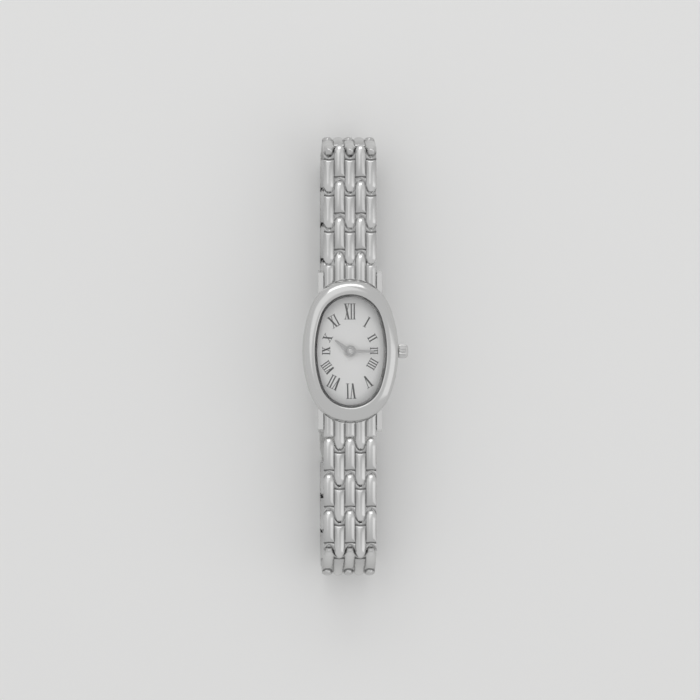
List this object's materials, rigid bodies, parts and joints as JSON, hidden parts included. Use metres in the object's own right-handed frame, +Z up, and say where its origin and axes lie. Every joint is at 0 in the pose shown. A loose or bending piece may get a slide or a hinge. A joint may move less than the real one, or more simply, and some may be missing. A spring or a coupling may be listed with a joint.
{
  "type": "wristwatch",
  "caption": "Small oval-cased quartz wristwatch on a polished link bracelet with rice-grain beads and a hook clasp.",
  "frame": {"origin": "on the surface the watch stands on, under the hands' axis, on the clasp cover's outer face", "axes": "+X to 3 o'clock, +Y to 12 o'clock, +Z up out of the dial"},
  "size_m": [0.0198, 0.082, 0.0182],
  "materials": {
    "case_steel": "polished stainless steel",
    "bracelet_steel": "polished stainless steel",
    "clasp_steel": "brushed stainless steel",
    "crystal": "clear mineral crystal",
    "dial_face": "silver-white dial with black numerals",
    "hands": "pale silver hands",
    "movement_steel": "plain steel",
    "movement_brass": "brass",
    "holder_plastic": "moulded plastic",
    "board": "circuit board",
    "coil_copper": "lacquered copper wire"
  },
  "bodies": {
    "case": {"case_middle": "case_steel", "bezel": "case_steel", "crystal": "crystal", "dial": "dial_face", "case_back": "case_steel", "spring_bars": "movement_steel", "end_link_12": "bracelet_steel", "end_link_6": "bracelet_steel", "crown_tube": "case_steel", "movement_holder": "holder_plastic", "main_plate": "movement_brass", "train_bridge": "movement_brass", "movement_screws": "movement_steel", "battery": "movement_steel", "battery_clamp": "movement_steel", "circuit_board": "board", "quartz_resonator": "movement_steel", "coil": "coil_copper", "stator": "movement_steel"},
    "link_12_1": {"link_12_1": "bracelet_steel"},
    "link_12_2": {"link_12_2": "bracelet_steel"},
    "link_12_3": {"link_12_3": "bracelet_steel"},
    "link_12_4": {"link_12_4": "bracelet_steel"},
    "link_12_5": {"link_12_5": "bracelet_steel"},
    "link_12_6": {"link_12_6": "bracelet_steel"},
    "link_12_7": {"link_12_7": "bracelet_steel"},
    "link_12_8": {"link_12_8": "bracelet_steel"},
    "link_12_9": {"link_12_9": "bracelet_steel"},
    "clasp_ladder": {"clasp_ladder": "clasp_steel"},
    "link_6_1": {"link_6_1": "bracelet_steel"},
    "link_6_2": {"link_6_2": "bracelet_steel"},
    "link_6_3": {"link_6_3": "bracelet_steel"},
    "link_6_4": {"link_6_4": "bracelet_steel"},
    "link_6_5": {"link_6_5": "bracelet_steel"},
    "link_6_6": {"link_6_6": "bracelet_steel"},
    "link_6_7": {"link_6_7": "bracelet_steel"},
    "link_6_8": {"link_6_8": "bracelet_steel"},
    "clasp_cover": {"clasp_cover": "clasp_steel"},
    "minute_hand": {"minute_hand": "hands", "centre_wheel": "movement_brass"},
    "hour_hand": {"hour_hand": "hands", "hour_wheel": "movement_brass"},
    "minute_wheel": {"minute_wheel": "movement_brass"},
    "third_wheel": {"third_wheel": "movement_brass"},
    "intermediate_wheel": {"intermediate_wheel": "movement_brass"},
    "rotor": {"rotor": "movement_steel"},
    "setting_lever": {"setting_lever": "movement_steel"},
    "crown": {"crown": "case_steel", "winding_stem": "movement_steel"}
  },
  "joints": [
    {"name": "link_12_1_hinge", "type": "hinge", "parent": "case", "child": "link_12_1", "pos_m": [0, 0.0171, 0.015], "axis": [1, 0, 0], "range_deg": [-13, 2]},
    {"name": "link_12_2_hinge", "type": "hinge", "parent": "link_12_1", "child": "link_12_2", "pos_m": [0, 0.02383, 0.015], "axis": [1, 0, 0], "range_deg": [-13, 2]},
    {"name": "link_12_3_hinge", "type": "hinge", "parent": "link_12_2", "child": "link_12_3", "pos_m": [0, 0.03056, 0.015], "axis": [1, 0, 0], "range_deg": [-13, 2]},
    {"name": "link_12_4_hinge", "type": "hinge", "parent": "link_12_3", "child": "link_12_4", "pos_m": [0, 0.03729, 0.015], "axis": [1, 0, 0], "range_deg": [0, 64]},
    {"name": "link_12_5_hinge", "type": "hinge", "parent": "link_12_4", "child": "link_12_5", "pos_m": [0, 0.03903, 0.0085], "axis": [1, 0, 0], "range_deg": [-2, 31]},
    {"name": "link_12_6_hinge", "type": "hinge", "parent": "link_12_5", "child": "link_12_6", "pos_m": [0, 0.03619, 0.0024], "axis": [1, 0, 0], "range_deg": [-2, 44.4]},
    {"name": "link_12_7_hinge", "type": "hinge", "parent": "link_12_6", "child": "link_12_7", "pos_m": [0, 0.0296, 0.00105], "axis": [1, 0, 0], "range_deg": [-2, 8.6]},
    {"name": "link_12_8_hinge", "type": "hinge", "parent": "link_12_7", "child": "link_12_8", "pos_m": [0, 0.02287, 0.00105], "axis": [1, 0, 0], "range_deg": [-13, 2]},
    {"name": "link_12_9_hinge", "type": "hinge", "parent": "link_12_8", "child": "link_12_9", "pos_m": [0, 0.01614, 0.00105], "axis": [1, 0, 0], "range_deg": [-13, 2]},
    {"name": "clasp_ladder_hinge", "type": "hinge", "parent": "link_12_9", "child": "clasp_ladder", "pos_m": [0, 0.00941, 0.00105], "axis": [1, 0, 0], "range_deg": [-13, 2]},
    {"name": "link_6_1_hinge", "type": "hinge", "parent": "case", "child": "link_6_1", "pos_m": [0, -0.0171, 0.015], "axis": [-1, 0, 0], "range_deg": [-13, 2]},
    {"name": "link_6_2_hinge", "type": "hinge", "parent": "link_6_1", "child": "link_6_2", "pos_m": [0, -0.02383, 0.015], "axis": [-1, 0, 0], "range_deg": [-13, 2]},
    {"name": "link_6_3_hinge", "type": "hinge", "parent": "link_6_2", "child": "link_6_3", "pos_m": [0, -0.03056, 0.015], "axis": [-1, 0, 0], "range_deg": [-13, 2]},
    {"name": "link_6_4_hinge", "type": "hinge", "parent": "link_6_3", "child": "link_6_4", "pos_m": [0, -0.03729, 0.015], "axis": [-1, 0, 0], "range_deg": [-2, 48]},
    {"name": "link_6_5_hinge", "type": "hinge", "parent": "link_6_4", "child": "link_6_5", "pos_m": [0, -0.04096, 0.00936], "axis": [-1, 0, 0], "range_deg": [-2, 36]},
    {"name": "link_6_6_hinge", "type": "hinge", "parent": "link_6_5", "child": "link_6_6", "pos_m": [0, -0.03956, 0.00278], "axis": [-1, 0, 0], "range_deg": [-2, 54.14]},
    {"name": "link_6_7_hinge", "type": "hinge", "parent": "link_6_6", "child": "link_6_7", "pos_m": [0, -0.03305, 0.00105], "axis": [-1, 0, 0], "range_deg": [-2, 11.86]},
    {"name": "link_6_8_hinge", "type": "hinge", "parent": "link_6_7", "child": "link_6_8", "pos_m": [0, -0.02632, 0.00105], "axis": [-1, 0, 0], "range_deg": [-13, 2]},
    {"name": "clasp_cover_hinge", "type": "hinge", "parent": "link_6_8", "child": "clasp_cover", "pos_m": [0, -0.01959, 0.00105], "axis": [-1, 0, 0], "range_deg": [0, 102]},
    {"name": "minute_hand_turn", "type": "hinge", "parent": "case", "child": "minute_hand", "pos_m": [0, 0, 0.016], "axis": [0, 0, -1], "continuous": true},
    {"name": "hour_hand_turn", "type": "hinge", "parent": "case", "child": "hour_hand", "pos_m": [0, 0, 0.016], "axis": [0, 0, -1], "continuous": true},
    {"name": "minute_wheel_turn", "type": "hinge", "parent": "case", "child": "minute_wheel", "pos_m": [-0.0019, 0.00111, 0.016], "axis": [0, 0, -1], "continuous": true},
    {"name": "third_wheel_turn", "type": "hinge", "parent": "case", "child": "third_wheel", "pos_m": [0.00119, 0.00069, 0.016], "axis": [0, 0, -1], "continuous": true},
    {"name": "intermediate_wheel_turn", "type": "hinge", "parent": "case", "child": "intermediate_wheel", "pos_m": [0.00139, 0.00199, 0.016], "axis": [0, 0, -1], "continuous": true},
    {"name": "rotor_turn", "type": "hinge", "parent": "case", "child": "rotor", "pos_m": [0.00045, 0.00292, 0.016], "axis": [0, 0, -1], "continuous": true},
    {"name": "stem_slide", "type": "slide", "parent": "case", "child": "setting_lever", "axis": [1, 0, 0], "range_m": [0, 0.0009]},
    {"name": "crown_turn", "type": "hinge", "parent": "setting_lever", "child": "crown", "pos_m": [0, 0, 0.01465], "axis": [1, 0, 0], "continuous": true}
  ],
  "couplings": [
    {"joint": "link_12_1_hinge", "follows": "link_12_4_hinge", "ratio": -0.17188},
    {"joint": "link_12_2_hinge", "follows": "link_12_4_hinge", "ratio": -0.17188},
    {"joint": "link_12_3_hinge", "follows": "link_12_4_hinge", "ratio": -0.17188},
    {"joint": "link_12_5_hinge", "follows": "link_12_4_hinge", "ratio": 0.45312},
    {"joint": "link_12_6_hinge", "follows": "link_12_4_hinge", "ratio": 0.6625},
    {"joint": "link_12_7_hinge", "follows": "link_12_4_hinge", "ratio": 0.10312},
    {"joint": "link_12_8_hinge", "follows": "link_12_4_hinge", "ratio": -0.17188},
    {"joint": "link_12_9_hinge", "follows": "link_12_4_hinge", "ratio": -0.17188},
    {"joint": "clasp_ladder_hinge", "follows": "link_12_4_hinge", "ratio": -0.17188},
    {"joint": "link_6_1_hinge", "follows": "link_12_4_hinge", "ratio": -0.17188},
    {"joint": "link_6_2_hinge", "follows": "link_12_4_hinge", "ratio": -0.17188},
    {"joint": "link_6_3_hinge", "follows": "link_12_4_hinge", "ratio": -0.17188},
    {"joint": "link_6_4_hinge", "follows": "link_12_4_hinge", "ratio": 0.71875},
    {"joint": "link_6_5_hinge", "follows": "link_12_4_hinge", "ratio": 0.53125},
    {"joint": "link_6_6_hinge", "follows": "link_12_4_hinge", "ratio": 0.81466},
    {"joint": "link_6_7_hinge", "follows": "link_12_4_hinge", "ratio": 0.1541},
    {"joint": "link_6_8_hinge", "follows": "link_12_4_hinge", "ratio": -0.17188},
    {"joint": "clasp_cover_hinge", "follows": "link_12_4_hinge", "ratio": 1.5625},
    {"joint": "hour_hand_turn", "follows": "minute_hand_turn", "ratio": 0.083333},
    {"joint": "minute_wheel_turn", "follows": "minute_hand_turn", "ratio": -0.33333},
    {"joint": "third_wheel_turn", "follows": "minute_hand_turn", "ratio": -4},
    {"joint": "intermediate_wheel_turn", "follows": "minute_hand_turn", "ratio": 18},
    {"joint": "rotor_turn", "follows": "minute_hand_turn", "ratio": -90}
  ]
}
